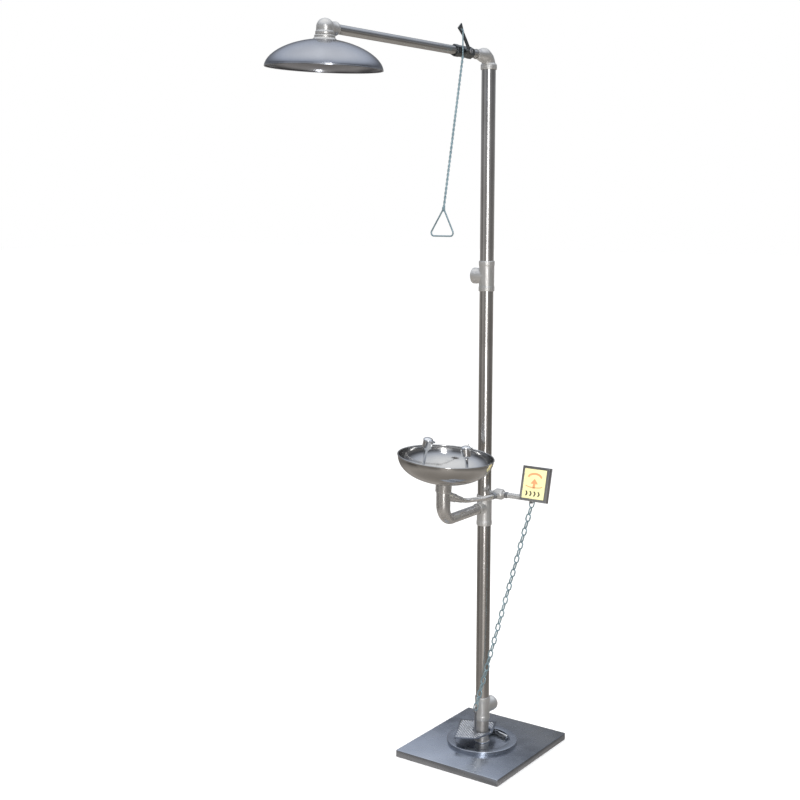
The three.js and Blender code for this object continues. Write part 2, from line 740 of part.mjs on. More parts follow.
function buildEyewash() {
  const leaning = groupAt([0, BOWL.y, LEAN_HEIGHT]);
  leaning.rotation.y = degrees(BOWL.lean);
  const bowlGroup = groupAt([0, 0, -LEAN_HEIGHT], leaning);
  add('eyewash_bowl', eyewashBowl(), POLISHED, groupAt([0, 0, BOWL.rim], bowlGroup));
  const bottom = groupAt([0, 0, BOWL.rim - BOWL.depth], bowlGroup);
  add('bowl_strainer', bowlStrainer(), SATIN, bottom);
  add('bowl_locknut', bowlLocknut(), CAST, bottom);
  add('drain_leg', drainLeg(), CAST);
  add('supply_riser', supplyRiser(), SATIN);
  add('side_boss', sideBoss(), CAST);
  add('tube_nut_bowl', taperNut(), CAST);
  add('supply_tube', supplyTube(), POLISHED);
  add('nozzle_manifold', nozzleManifold(), CHROME, bowlGroup);
  buildNozzle(-1, 'left', bowlGroup);
  buildNozzle(1, 'right', bowlGroup);
}

// ---- eyewash valve and push plate --------------------------------------------------------------

// Water comes in along the stem's axis from -X and leaves at -Y.
function eyeValveBody() {
  const { radius, ball } = EYE_VALVE;
  const barrel = [[0, -15], [radius - 4, -15], [radius, -10], [radius, 10], [radius - 4, 15], [0, 15]];
  const outside = join(
    along('x', turned(barrel)),
    along('x', rod(11, -20, 0, 20)),
    along('x', rod(9.5, 0, 22, 20)),
    along('y', rod(10.5, -28, 0, 20)),
  );
  return cut(
    outside,
    ballRoom(ball),
    along('x', rod(5, -21, 0, 12)),
    along('x', rod(7.8, -21, -12.5, 16)),
    along('y', rod(5, -29, 0, 12)),
    along('y', rod(SUPPLY.radius + GAP, -29, -16, 12)),
    along('x', rod(4.3, 0, 23, 12)),
  );
}

// The ball's channel runs in on the stem's axis and out sideways. At rest the side port is turned
// down, clear of the outlet; the full push brings it round to -Y.
function angleBall() {
  const { ball, port } = EYE_VALVE;
  return cut(
    new THREE.SphereGeometry(ball, 12, 8),
    along('x', rod(port, -ball - 1, 2, 12)),
    along('y', rod(port, -ball - 1, 0, 12)).rotateX(degrees(PUSH.travel)),
    along('x', rod(4.3, 7, ball + 1, 12)),
  );
}

// A pressed tray whose face looks at the user, with its walls turned back.
function pushPlate() {
  const { left, width, below, tall, deep, sheet, border } = PUSH;
  const front = -deep / 2;
  const right = left + width;
  const tray = cut(
    block([left, front, -below], [right, front + deep, tall - below]),
    block(
      [left + sheet, front + sheet, sheet - below],
      [right - sheet, front + deep + 1, tall - below - sheet],
    ),
    block(
      [left + border, front - 1, border - below],
      [right - border, front + 0.8, tall - below - border],
    ),
  );
  const angle = degrees(EAR.angle + PUSH.lean);
  const [holeY, holeZ] = [EAR.reach * Math.cos(angle), EAR.reach * Math.sin(angle)];
  const eye = along('x', rod(EAR.radius, 0, EAR.thick, 20)).translate(0, holeY, holeZ);
  const web = block([0, front + 1, holeZ - EAR.radius], [EAR.thick, holeY, holeZ + EAR.radius]);
  const trimmed = cut(web, block([-1, front, -below - 30], [EAR.thick + 1, front + deep, -below + 0.5]));
  const ear = cut(
    join(eye, trimmed),
    along('x', rod(EAR.holeRadius, -1, EAR.thick + 1, 16)).translate(0, holeY, holeZ),
  );
  ear.translate(EAR.x - EAR.thick / 2, 0, 0);
  return cut(join(tray, ear), along('x', rod(4.3, left - 1, left + sheet + 1, 12)));
}

function labelPanel() {
  const { left, width, below, tall, deep, border } = PUSH;
  const front = -deep / 2;
  const inset = border + GAP;
  return block(
    [left + inset, front - 0.2, inset - below],
    [left + width - inset, front + 0.5, tall - below - inset],
  );
}

// A ribbed bar on the end of the stem, with a thin tail through the wall of the push plate.
function handleBar() {
  const from = EYE_VALVE.x + 31;
  const to = PUSH.left - GAP;
  const outline = [[0, from], [6, from]];
  const ribs = 6;
  const pitch = (to - from) / ribs;
  for (let i = 0; i < ribs; i += 1) {
    const start = from + i * pitch;
    outline.push([8.5, start + 1.2], [8.5, start + pitch - 2.4], [6.8, start + pitch - 1.2]);
  }
  outline.push([6.8, to], [4, to], [4, to + 10], [0, to + 10]);
  const socket = along('x', rod(4.3, from - 1, from + 22, 12));
  return cut(along('x', turned(outline, 12)), socket);
}

function buildEyeValve() {
  const { x, z } = EYE_VALVE;
  const valve = groupAt([x, 0, z]);
  add('valve_nipple', along('x', tube(7.5, 5, COLUMN.bore + 1 - x, -12.8, 16)), POLISHED, valve);
  add('eyewash_valve_body', eyeValveBody(), CAST, valve);
  add('tube_nut_valve', along('y', hexagon(19, SUPPLY.radius + GAP, -40, -28.3)), SATIN, valve);
  add('eyewash_gland_nut', along('x', hexagon(18, 4.3, 22.3, 30.5)), SATIN, valve);
  const turning = groupAt([0, 0, z]);
  add('eyewash_valve_ball', angleBall().translate(x, 0, 0), CHROME, turning);
  add('eyewash_valve_stem', along('x', rod(4, x + 7.3, x + 52, 12)), SATIN, turning);
  add('handle_bar', handleBar(), SATIN, turning);
  add('plate_nut', along('x', hexagon(10, 4.3, PUSH.left + PUSH.sheet + GAP, PUSH.left + 9)), SATIN, turning);
  const leaning = groupAt([0, 0, 0], turning);
  leaning.rotation.x = -degrees(PUSH.lean);
  add('push_plate', pushPlate(), SATIN, leaning);
  add('label_panel', labelPanel(), LABEL, leaning);
}

// ---- chain and foot pedal ----------------------------------------------------------------------

function earHole() {
  const angle = degrees(EAR.angle);
  const y = EAR.reach * Math.cos(angle);
  return new THREE.Vector3(EAR.x, y, EYE_VALVE.z + EAR.reach * Math.sin(angle));
}

// A ring pulled apart at its middle into a long link, standing along Z with its face across Y.
function chainLink(centreLength) {
  const bend = CHAIN.width / 2 - CHAIN.wire;
  const turnsRound = 8;
  const ring = new THREE.TorusGeometry(bend, CHAIN.wire, 4, turnsRound);
  ring.rotateZ(Math.PI / turnsRound).rotateX(Math.PI / 2);
  const spread = centreLength / 2 - bend;
  const position = ring.attributes.position;
  for (let i = 0; i < position.count; i += 1) {
    const z = position.getZ(i);
    position.setZ(i, z + Math.sign(z) * spread);
  }
  return ring;
}

// The taut chain is one strand, each link biting slightly into the next.
function pullChain(length) {
  const { links, wire, bite } = CHAIN;
  const overlap = 2 * wire - bite;
  const centreLength = (length + (links - 1) * overlap) / links;
  const pitch = centreLength - overlap;
  const strand = [];
  for (let i = 0; i < links; i += 1) {
    const link = chainLink(centreLength).rotateZ((i % 2) * Math.PI / 2);
    strand.push(link.translate(0, 0, -centreLength / 2 - i * pitch));
  }
  return join(...strand);
}

function buildChain() {
  const top = earHole();
  top.x += CHAIN.offset;
  const bottom = new THREE.Vector3(PEDAL_EYE.x - CHAIN.offset, PEDAL_EYE.y, PEDAL_EYE.z);
  const run = top.clone().sub(bottom);
  const chain = groupAt(top.toArray());
  chain.quaternion.setFromUnitVectors(UP, run.clone().normalize());
  add('pull_chain', pullChain(run.length()), GALVANISED, chain);
}

// A point on the pedal's hinge line, at a distance from the point behind the column.
function hingePoint(distance) {
  const turn = degrees(PEDAL.turn);
  const behind = new THREE.Vector3(-Math.sin(turn), Math.cos(turn), 0).multiplyScalar(PEDAL.rodBehind);
  const line = new THREE.Vector3(Math.cos(turn), Math.sin(turn), 0);
  return behind.addScaledVector(line, distance).setZ(PEDAL.rodHeight);
}

// A plate round the column, with its front edge angled and the corner before the column cut away.
function treadPlate() {
  const { corner, turn, width, depth, top, thick, hole, slant, cutWidth, cutDepth, taper } = TREAD;
  const shape = new THREE.Shape();
  shape.moveTo(0, 0);
  shape.lineTo(width - cutWidth, slant);
  shape.lineTo(width - taper, slant + cutDepth);
  shape.lineTo(width, depth);
  shape.lineTo(0, depth);
  shape.closePath();
  const plate = new THREE.ExtrudeGeometry(shape, { depth: thick, bevelEnabled: false });
  plate.rotateZ(degrees(turn)).translate(...corner, top - thick);
  return cut(plate, rod(hole, 0, top + 10, 32));
}

// Two bars under the tread run back, beside the column, to a sleeve on the hinge rod.
function pedalFrame() {
  const under = TREAD.top - TREAD.thick - GAP;
  const thick = 3.5;
  const bar = (front, back) => bent([[...front, under - thick], hingePoint(back).toArray()], 1, thick, 8);
  const sleeve = turnedOnHinge(rod(PEDAL.sleeve, -37, -14, 16));
  const bars = [bar([-48, -40], -20), bar([-62, 0], -30)];
  return cut(join(sleeve, ...bars), turnedOnHinge(rod(PEDAL.rod + GAP, -40, 0, 16)));
}

// Moves a shape made along Z onto the pedal's hinge line.
function turnedOnHinge(geometry) {
  along('x', geometry);
  return geometry.rotateZ(degrees(PEDAL.turn)).translate(...hingePoint(0).toArray());
}

// A strip on the flange's web with a cheek turned up at each end to hold the hinge rod.
function hingeBracket() {
  const floor = BASE.height + FLANGE.web + GAP;
  const [left, right] = [-42, 43];
  const thick = 4;
  const box = (from, to, high) => block(
    [from, PEDAL.rodBehind - 5, floor], [to, PEDAL.rodBehind + 5, floor + high],
  );
  const bracket = join(
    box(left, left + thick, 12), box(left + 1, right - 1, 1.5), box(right - thick, right, 12),
  );
  bracket.rotateZ(degrees(PEDAL.turn));
  return cut(bracket, turnedOnHinge(rod(PEDAL.rod + GAP, left - 1, right + 1, 16)));
}

function chainBar() {
  const { x, y, z } = PEDAL_EYE;
  const foot = TREAD.top + GAP;
  const flat = join(
    block([-1.25, -5.5, foot - z], [1.25, 5.5, 0]),
    along('x', rod(EAR.radius, -1.25, 1.25, 20)),
    block([-1.25, -9, foot - z], [1.25, 9, foot - z + 6]),
  );
  return cut(flat, along('x', rod(EAR.holeRadius, -2, 2, 16))).translate(x, y, z);
}

function buildPedal() {
  add('hinge_bracket', hingeBracket(), SATIN);
  add('hinge_rod', turnedOnHinge(rod(PEDAL.rod, -43, 46, 16)), POLISHED);
  add('pedal_frame', pedalFrame(), SATIN);
  add('tread_plate', treadPlate(), SATIN);
  add('chain_bar', chainBar(), SATIN);
}

buildColumn();
buildShowerValve();
buildShowerHead();
buildEyewash();
buildEyeValve();
buildChain();
buildPedal();

export default shower;
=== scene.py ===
"""Looks of the emergency shower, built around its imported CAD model. Metres, +Z up."""

import json
import math

import bmesh
import bpy
from mathutils import Matrix, Vector


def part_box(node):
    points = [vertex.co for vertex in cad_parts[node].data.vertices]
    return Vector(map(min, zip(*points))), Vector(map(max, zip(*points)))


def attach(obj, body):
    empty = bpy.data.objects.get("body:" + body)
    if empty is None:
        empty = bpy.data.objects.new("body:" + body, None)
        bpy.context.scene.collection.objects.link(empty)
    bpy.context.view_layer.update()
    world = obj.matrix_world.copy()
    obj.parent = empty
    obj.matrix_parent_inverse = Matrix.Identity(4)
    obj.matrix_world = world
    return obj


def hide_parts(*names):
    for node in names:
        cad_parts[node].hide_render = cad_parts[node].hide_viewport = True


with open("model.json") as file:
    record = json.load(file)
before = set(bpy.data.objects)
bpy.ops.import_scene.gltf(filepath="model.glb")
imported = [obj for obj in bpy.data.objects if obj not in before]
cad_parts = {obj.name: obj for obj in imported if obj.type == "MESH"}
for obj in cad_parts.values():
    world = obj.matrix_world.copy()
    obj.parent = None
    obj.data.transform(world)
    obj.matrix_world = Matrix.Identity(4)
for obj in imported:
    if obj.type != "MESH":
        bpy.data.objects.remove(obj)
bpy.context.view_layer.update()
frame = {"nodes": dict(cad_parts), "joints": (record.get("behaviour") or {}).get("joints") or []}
MM = 0.001


# ---- places and sizes read from the frame ------------------------------------------------------

def low(node):
    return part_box(node)[0]


def high(node):
    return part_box(node)[1]


def middle(node):
    return (low(node) + high(node)) / 2


def joint(name):
    return next(j for j in frame["joints"] if j["name"] == name)


COLUMN_RADIUS = high("riser_middle").x
WALL = 2.5 * MM
ARM_RADIUS = high("shower_arm").x
ARM_HEIGHT = middle("shower_arm").z
BOWL_CENTRE = Vector((0, middle("eyewash_bowl").y, 0))
LEVER_PIVOT = Vector(joint("pull_rod_hang")["pos_m"])
HANDLE_AXIS = Vector(joint("push_handle_turn")["pos_m"])
RIM_RADIUS = high("eyewash_bowl").y - BOWL_CENTRE.y
TUBE_RADIUS = 7.2 * MM
SUPPLY_SLOPE = math.radians(18.6)  # of the tube's first run, down from the drain leg
SUPPLY_ENTRY = 879 * MM  # height at which the tube's line meets the drain leg's axis
HEAD_TILT = math.radians(2.9)  # the head's elbow is screwed this far past upright on the arm
BOWL_LEAN = math.radians(4.5)  # the bowl and its nozzles lean to the right
LEAN_HEIGHT = 892 * MM  # height of the point that they lean about
PLATE_LEAN = math.radians(14)
TREAD_TURN = math.radians(24.7)


def leaning_place(y, height, angle):
    """A frame at a point over the y axis, turned about the y direction."""
    return Matrix.Translation((0, y, height)) @ Matrix.Rotation(angle, 4, "Y")


def leaning_box(node, place):
    """The box of a node's vertices as seen in a leaning frame."""
    thing = frame["nodes"][node]
    turned = place.inverted() @ thing.matrix_world
    points = [turned @ vertex.co for vertex in thing.data.vertices]
    lowest = Vector([min(point[i] for point in points) for i in range(3)])
    highest = Vector([max(point[i] for point in points) for i in range(3)])
    return lowest, highest


# ---- materials ---------------------------------------------------------------------------------

class Shader:
    """A material's node tree, with short calls for the nodes used here."""

    def __init__(self, name):
        self.material = bpy.data.materials.new(name)
        self.material.use_nodes = True
        self.tree = self.material.node_tree
        self.surface = self.tree.nodes["Principled BSDF"]
        coordinates = self.tree.nodes.new("ShaderNodeTexCoord")
        self.place = coordinates.outputs["Object"]

    def node(self, kind, **settings):
        made = self.tree.nodes.new(kind)
        for key, value in settings.items():
            setattr(made, key, value)
        return made

    def link(self, output, target):
        self.tree.links.new(output, target)

    def noise(self, scale, stretch=(1, 1, 1), detail=3.0):
        mapping = self.node("ShaderNodeMapping")
        mapping.inputs["Scale"].default_value = stretch
        self.link(self.place, mapping.inputs["Vector"])
        noise = self.node("ShaderNodeTexNoise")
        noise.inputs["Scale"].default_value = scale
        noise.inputs["Detail"].default_value = detail
        self.link(mapping.outputs["Vector"], noise.inputs["Vector"])
        return noise.outputs["Fac"]

    def spread(self, value, low_value, high_value, start=0.3, end=0.7):
        ranged = self.node("ShaderNodeMapRange")
        ranged.inputs["From Min"].default_value = start
        ranged.inputs["From Max"].default_value = end
        ranged.inputs["To Min"].default_value = low_value
        ranged.inputs["To Max"].default_value = high_value
        self.link(value, ranged.inputs["Value"])
        return ranged.outputs["Result"]

    def mix(self, factor, first, second):
        mixed = self.node("ShaderNodeMix", data_type="RGBA")
        self.link(factor, mixed.inputs["Factor"])
        mixed.inputs["A"].default_value = (*first, 1)
        mixed.inputs["B"].default_value = (*second, 1)
        return mixed.outputs["Result"]

    def bump(self, height, strength, distance):
        bump = self.node("ShaderNodeBump")
        bump.inputs["Strength"].default_value = strength
        bump.inputs["Distance"].default_value = distance
        self.link(height, bump.inputs["Height"])
        self.link(bump.outputs["Normal"], self.surface.inputs["Normal"])


def metal(name, bright, dull, roughness, grain, stretch=(1, 1, 1), relief=0.15, metallic=1.0):
    """Metal whose colour and gloss drift slowly and whose surface has a fine grain."""
    shader = Shader(name)
    shader.surface.inputs["Metallic"].default_value = metallic
    patches = shader.noise(9, detail=4)
    fine = shader.noise(grain, stretch)
    shader.link(shader.mix(shader.spread(patches, 0, 1), bright, dull), shader.surface.inputs["Base Color"])
    shader.link(
        shader.spread(shader.noise(28, stretch, 5), roughness[0], roughness[1]),
        shader.surface.inputs["Roughness"],
    )
    shader.bump(fine, relief, 0.0004)
    return shader.material


def plastic(name, color, worn, roughness):
    shader = Shader(name)
    grime = shader.spread(shader.noise(24, detail=6), 0, 0.55, 0.45, 0.75)
    shader.link(shader.mix(grime, color, worn), shader.surface.inputs["Base Color"])
    shader.link(
        shader.spread(shader.noise(60), roughness, roughness + 0.15),
        shader.surface.inputs["Roughness"],
    )
    shader.bump(shader.noise(400), 0.08, 0.0003)
    return shader.material


ALONG_Z = (1, 1, 0.02)
ALONG_Y = (1, 0.02, 1)

POLISHED = metal("polished_tube", (0.70, 0.69, 0.68), (0.58, 0.565, 0.55), (0.16, 0.26), 500, ALONG_Z, 0.1)
# Rougher tube for the lowest riser; its warmer tint is a painted reflection of the warm tread and ground
# below it.
DULL_TUBE_WARM_REFLECTION = metal("dull_tube_warm_reflection", (0.70, 0.67, 0.63), (0.58, 0.55, 0.51), (0.34, 0.46), 500, ALONG_Z, 0.1)
ARM_METAL = metal("polished_arm", (0.62, 0.62, 0.61), (0.50, 0.50, 0.49), (0.14, 0.24), 500, ALONG_Y, 0.1)
# Painted reflection: the sheet's bluish tint stands in for the blue sky mirrored in the base.
SKY_TINTED_SHEET = metal("polished_sheet_sky_tint", (0.50, 0.53, 0.585), (0.41, 0.44, 0.49), (0.20, 0.32), 220)
SPUN = metal("spun_sheet", (0.60, 0.595, 0.585), (0.48, 0.475, 0.465), (0.08, 0.17), 260)
HEAD_SHEET = metal("dome_sheet", (0.45, 0.465, 0.50), (0.35, 0.36, 0.39), (0.15, 0.26), 240)
CAST = metal(
    "cast_fitting", (0.72, 0.715, 0.70), (0.56, 0.55, 0.53), (0.32, 0.48), 420, relief=0.4, metallic=0.85,
)
CAST_BRIGHT = metal(
    "polished_casting", (0.68, 0.67, 0.65), (0.54, 0.525, 0.51), (0.20, 0.32), 300, relief=0.1, metallic=0.9,
)
SATIN = metal("satin_steel", (0.50, 0.51, 0.53), (0.38, 0.39, 0.40), (0.26, 0.40), 300, relief=0.3)
FRAME_STEEL = metal("frame_steel", (0.64, 0.65, 0.66), (0.52, 0.53, 0.54), (0.26, 0.40), 300, relief=0.3)
# Painted shade: this steel is coloured dark to stand in for the shade on the shower valve body, its gland
# nut and lever, and on the pedal frame under the tread.
SHADE_DARK_STEEL = metal("shade_painted_steel", (0.20, 0.215, 0.22), (0.13, 0.14, 0.145), (0.28, 0.42), 300, relief=0.3)
CHROME = metal("bright_chrome", (0.80, 0.81, 0.82), (0.68, 0.69, 0.70), (0.05, 0.12), 200, relief=0.05)
KNURLED = metal(
    "knurled_steel", (0.74, 0.74, 0.73), (0.56, 0.56, 0.55), (0.22, 0.38), 900, relief=0.9, metallic=0.75,
)
ZINC = metal(
    "zinc_plate", (0.40, 0.53, 0.57), (0.27, 0.37, 0.41), (0.28, 0.46), 350, relief=0.4, metallic=0.8,
)
TREAD = metal("tread_steel", (0.27, 0.295, 0.34), (0.20, 0.22, 0.26), (0.30, 0.42), 240, relief=0.3)
STUD = metal("worn_stud", (0.90, 0.91, 0.93), (0.74, 0.76, 0.79), (0.20, 0.34), 240, metallic=0.6)
SEAL = plastic("white_seal", (0.80, 0.80, 0.77), (0.66, 0.65, 0.60), 0.45)
LABEL = plastic("label_yellow", (0.90, 0.84, 0.45), (0.83, 0.75, 0.38), 0.32)
PRINT = plastic("label_print", (0.06, 0.055, 0.04), (0.16, 0.14, 0.08), 0.40)
PRINT_RED = plastic("label_print_red", (0.82, 0.36, 0.16), (0.85, 0.46, 0.24), 0.40)


# ---- making pieces -----------------------------------------------------------------------------

def finish_mesh(name, mesh, material, body, nodes=(), sharp=35):
    """Names, shades and files one piece: it rides on body and stands for the CAD nodes."""
    mesh_of_faces = bmesh.new()
    mesh_of_faces.from_mesh(mesh)
    bmesh.ops.remove_doubles(mesh_of_faces, verts=mesh_of_faces.verts, dist=1e-7)
    bmesh.ops.recalc_face_normals(mesh_of_faces, faces=mesh_of_faces.faces)
    for face in mesh_of_faces.faces:
        face.smooth = True
    limit = math.radians(sharp)
    for edge in mesh_of_faces.edges:
        edge.smooth = len(edge.link_faces) == 2 and edge.calc_face_angle(0) < limit
    mesh_of_faces.to_mesh(mesh)
    mesh_of_faces.free()
    piece = bpy.data.objects.new(name, mesh)
    bpy.context.scene.collection.objects.link(piece)
    mesh.materials.clear()
    mesh.materials.append(material)
    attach(piece, body)
    if nodes:
        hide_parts(*nodes)
    return piece


def toward(direction, origin=(0, 0, 0)):
    """The matrix that stands a shape made along Z on origin, pointing in direction."""
    turn = Vector((0, 0, 1)).rotation_difference(Vector(direction))
    return Matrix.Translation(Vector(origin)) @ turn.to_matrix().to_4x4()


def lathe_mesh(name, outline, place=Matrix.Identity(4), sides=96):
    """A surface of revolution about Z through the [radius, height] points of a closed outline."""
    mesh = bpy.data.meshes.new(name)
    vertices = []
    faces = []
    count = len(outline)
    for step in range(sides):
        angle = 2 * math.pi * step / sides
        for radius, height in outline:
            vertices.append(place @ Vector((radius * math.cos(angle), radius * math.sin(angle), height)))
    for step in range(sides):
        ahead = (step + 1) % sides
        for i in range(count):
            j = (i + 1) % count
            if outline[i][0] == 0 and outline[j][0] == 0:
                continue
            faces.append([step * count + i, ahead * count + i, ahead * count + j, step * count + j])
    mesh.from_pydata(vertices, [], faces)
    mesh.validate()
    return mesh


def arc(centre, radius, start, end, steps=6):
    """Points of a circular arc in an outline, with angles in degrees from the radial direction."""
    points = []
    for i in range(steps + 1):
        angle = math.radians(start + (end - start) * i / steps)
        points.append((centre[0] + radius * math.cos(angle), centre[1] + radius * math.sin(angle)))
    return points


def tube_outline(radius, bore, start, end, chamfer=0.6 * MM):
    return [
        (bore, start), (radius - chamfer, start), (radius, start + chamfer),
        (radius, end - chamfer), (radius - chamfer, end), (bore, end),
    ]


def sweep_mesh(name, points, radius, sides=24, closed=False):
    """A round bar along a line of points. radius is a number, or one value for each point."""
    mesh = bpy.data.meshes.new(name)
    count = len(points)
    radii = radius if isinstance(radius, list) else [radius] * count
    tangents = []
    for i in range(count):
        if closed:
            tangents.append((points[(i + 1) % count] - points[i - 1]).normalized())
        else:
            tangents.append((points[min(i + 1, count - 1)] - points[max(i - 1, 0)]).normalized())
    across = tangents[0].orthogonal().normalized()
    vertices = []
    for i in range(count):
        across = (across - tangents[i] * across.dot(tangents[i])).normalized()
        up = tangents[i].cross(across)
        for k in range(sides):
            angle = 2 * math.pi * k / sides
            vertices.append(points[i] + radii[i] * (across * math.cos(angle) + up * math.sin(angle)))
    faces = []
    for i in range(count if closed else count - 1):
        j = (i + 1) % count
        for k in range(sides):
            n = (k + 1) % sides
            faces.append([i * sides + k, i * sides + n, j * sides + n, j * sides + k])
    if not closed:
        faces.append(list(range(sides))[::-1])
        faces.append(list(range((count - 1) * sides, count * sides)))
    mesh.from_pydata(vertices, [], faces)
    return mesh


def rounded_path(corners, bend, steps=12):
    """Points along straight runs between corners, with an arc of radius bend at each corner."""
    points = [Vector(corners[0])]
    for before, corner, after in zip(corners, corners[1:], corners[2:]):
        before, corner, after = Vector(before), Vector(corner), Vector(after)
        arriving = (corner - before).normalized()
        leaving = (after - corner).normalized()
        turn = arriving.angle(leaving)
        start = corner - arriving * bend * math.tan(turn / 2)
        spin = arriving.cross(leaving).normalized()
        centre = start + spin.cross(arriving) * bend
        for i in range(steps + 1):
            points.append(centre + Matrix.Rotation(turn * i / steps, 3, spin) @ (start - centre))
    points.append(Vector(corners[-1]))
    return points


def join_meshes(name, meshes):
    """One mesh that holds the faces of several."""
    whole = bmesh.new()
    for mesh in meshes:
        whole.from_mesh(mesh)
    joined = bpy.data.meshes.new(name)
    whole.to_mesh(joined)
    whole.free()
    return joined


def dress(node, material, bevel=0.0, sharp=35):
    """A CAD node shown as it is, welded, with a material and softened edges."""
    piece = frame["nodes"][node]
    piece.data.materials.clear()
    piece.data.materials.append(material)
    weld = piece.modifiers.new("weld", "WELD")
    weld.merge_threshold = 1e-5
    if bevel:
        edge = piece.modifiers.new("edges", "BEVEL")
        edge.width = bevel
        edge.segments = 2
        edge.limit_method = "ANGLE"
        edge.angle_limit = math.radians(sharp)
        edge.harden_normals = True
    for polygon in piece.data.polygons:
        polygon.use_smooth = bool(bevel)
    return piece


def soften(node, material, voxel, passes=4):
    """A cast CAD node shown with the soft, filleted surface of a casting."""
    piece = frame["nodes"][node]
    piece.data.materials.clear()
    piece.data.materials.append(material)
    weld = piece.modifiers.new("weld", "WELD")
    weld.merge_threshold = 1e-5
    remesh = piece.modifiers.new("remesh", "REMESH")
    remesh.mode = "VOXEL"
    remesh.voxel_size = voxel
    remesh.use_smooth_shade = True
    smooth = piece.modifiers.new("smooth", "CORRECTIVE_SMOOTH")
    smooth.factor = 0.5
    smooth.iterations = passes
    smooth.use_only_smooth = True
    return piece


# ---- column, base and fittings -----------------------------------------------------------------

def weld_bead(name, radius, centre, direction=(0, 0, 1), size=1.6 * MM):
    """A ring of weld metal with the ripple of its passes."""
    place = toward(direction, centre)
    steps = 120
    points = []
    radii = []
    for i in range(steps):
        angle = 2 * math.pi * i / steps
        points.append(place @ Vector((radius * math.cos(angle), radius * math.sin(angle), 0)))
        radii.append(size * (1 + 0.18 * math.sin(40 * angle)))
    mesh = sweep_mesh(name, points, radii, 10, closed=True)
    return finish_mesh(name, mesh, CAST, "stand")


def straight_tube(node, radius, axis, material):
    """A pipe that replaces a CAD pipe, along Z or along Y."""
    lowest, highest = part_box(node)
    start, end = (lowest.z, highest.z) if axis == "z" else (lowest.y, highest.y)
    outline = tube_outline(radius, radius - WALL, start, end)
    place = Matrix.Identity(4)
    if axis == "y":
        place = Matrix.Translation((0, 0, middle(node).z)) @ Matrix.Rotation(-math.pi / 2, 4, "X")
    mesh = lathe_mesh(node + "_tube", outline, place, 72)
    return finish_mesh(node + "_tube", mesh, material, "stand", [node])


def build_column():
    # The lowest riser's warm tint is a painted reflection of the tread and ground.
    straight_tube("riser_lower", COLUMN_RADIUS, "z", DULL_TUBE_WARM_REFLECTION)
    for node in ("riser_middle", "riser_upper", "riser_top"):
        straight_tube(node, COLUMN_RADIUS, "z", POLISHED)
    for node in ("arm_nipple", "shower_arm"):
        straight_tube(node, ARM_RADIUS, "y", ARM_METAL)
    for node in ("drain_tee", "bowl_tee", "inlet_tee", "top_elbow", "head_elbow"):
        soften(node, CAST, 1.3 * MM)
    dress("blanking_plug", SEAL, 0.5 * MM)
    dress("valve_nipple", POLISHED)


def build_base():
    # The base sheet's bluish tint is a painted reflection of the sky.
    dress("base_plate", SKY_TINTED_SHEET, 2.2 * MM, 60)
    lowest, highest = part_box("floor_flange")
    outer = highest.x
    inner = outer - 25 * MM
    bore = COLUMN_RADIUS + 0.3 * MM
    hub = COLUMN_RADIUS + 3.5 * MM
    hub_top = lowest.z + 5 * MM
    web = lowest.z + 3 * MM
    rim = lowest.z + 12 * MM
    fold = 2 * MM
    under = lowest.z + 0.1 * MM
    outline = [
        (bore, web), (bore, under), (outer - 1 * MM, under),
        *arc((outer - fold, rim - fold), fold, 0, 90),
        *arc((inner + fold, rim - fold), fold, 90, 180),
        (inner, web + fold),
        (inner - fold, web),
        (hub, web),
        (hub, hub_top),
        (bore, hub_top),
    ]
    mesh = lathe_mesh("flange_ring", outline, sides=160)
    finish_mesh("flange_ring", mesh, SKY_TINTED_SHEET, "stand", ["floor_flange"])
    weld_bead("foot_weld", COLUMN_RADIUS + 1.5 * MM, (0, 0, hub_top + 0.5 * MM))


# ---- shower head and valve ---------------------------------------------------------------------

def dome_outline(radius, height, inner, roundness, sheet, steps=40):
    """A pressed dome from its rim up to the neck hole, outside and then back inside."""
    last = math.acos((inner / radius) ** (roundness / 2))
    outside = []
    inside = []
    for i in range(steps + 1):
        angle = last * i / steps
        across = math.cos(angle) ** (2 / roundness)
        rise = math.sin(angle) ** (2 / roundness) if i else 0
        outside.append((radius * across, height * rise))
        inside.append(((radius - sheet) * across, (height - math.copysign(sheet, height)) * rise))
    return [*outside, *inside[::-1]]


def rolled_rim(radius, place, thickness):
    """The rim is turned over into a round bead."""
    points = []
    steps = 160
    for i in range(steps):
        angle = 2 * math.pi * i / steps
        points.append(place @ Vector((radius * math.cos(angle), radius * math.sin(angle), 0)))
    return sweep_mesh("rim", points, thickness, 12, closed=True)


def build_head():
    """The dome hangs from the arm's end, tilted sideways about the arm's axis."""
    tilted = leaning_place(middle("shower_head").y, ARM_HEIGHT, HEAD_TILT)
    lowest, highest = leaning_box("shower_head", tilted)
    radius = (highest.y - lowest.y) / 2
    neck, neck_height, neck_bore = 26.5 * MM, 9 * MM, 18 * MM
    sheet = 1.6 * MM
    height = highest.z - lowest.z - neck_height
    place = tilted @ Matrix.Translation((0, 0, lowest.z))
    outline = dome_outline(radius - 0.5 * MM, height, 20 * MM, 1.8, sheet)
    dome = lathe_mesh("dome", outline, place, 160)
    rim = rolled_rim(radius - 2 * MM, place @ Matrix.Translation((0, 0, sheet)), 1.7 * MM)
    finish_mesh(
        "shower_dome", join_meshes("shower_dome", [dome, rim]), HEAD_SHEET, "stand",
        ["shower_head"],
    )
    step = 2 * MM
    top = height + neck_height
    collar_outline = [
        (neck_bore, height - 3 * MM), (31 * MM, height - 3.2 * MM), (29 * MM, height),
        (neck, height + step), (neck, top - step), (neck - step, top), (neck_bore, top),
    ]
    collar = lathe_mesh("collar", collar_outline, place, 96)
    finish_mesh("head_collar", collar, CAST, "stand")
    dress("spray_plate", SATIN, 0.4 * MM, 50)


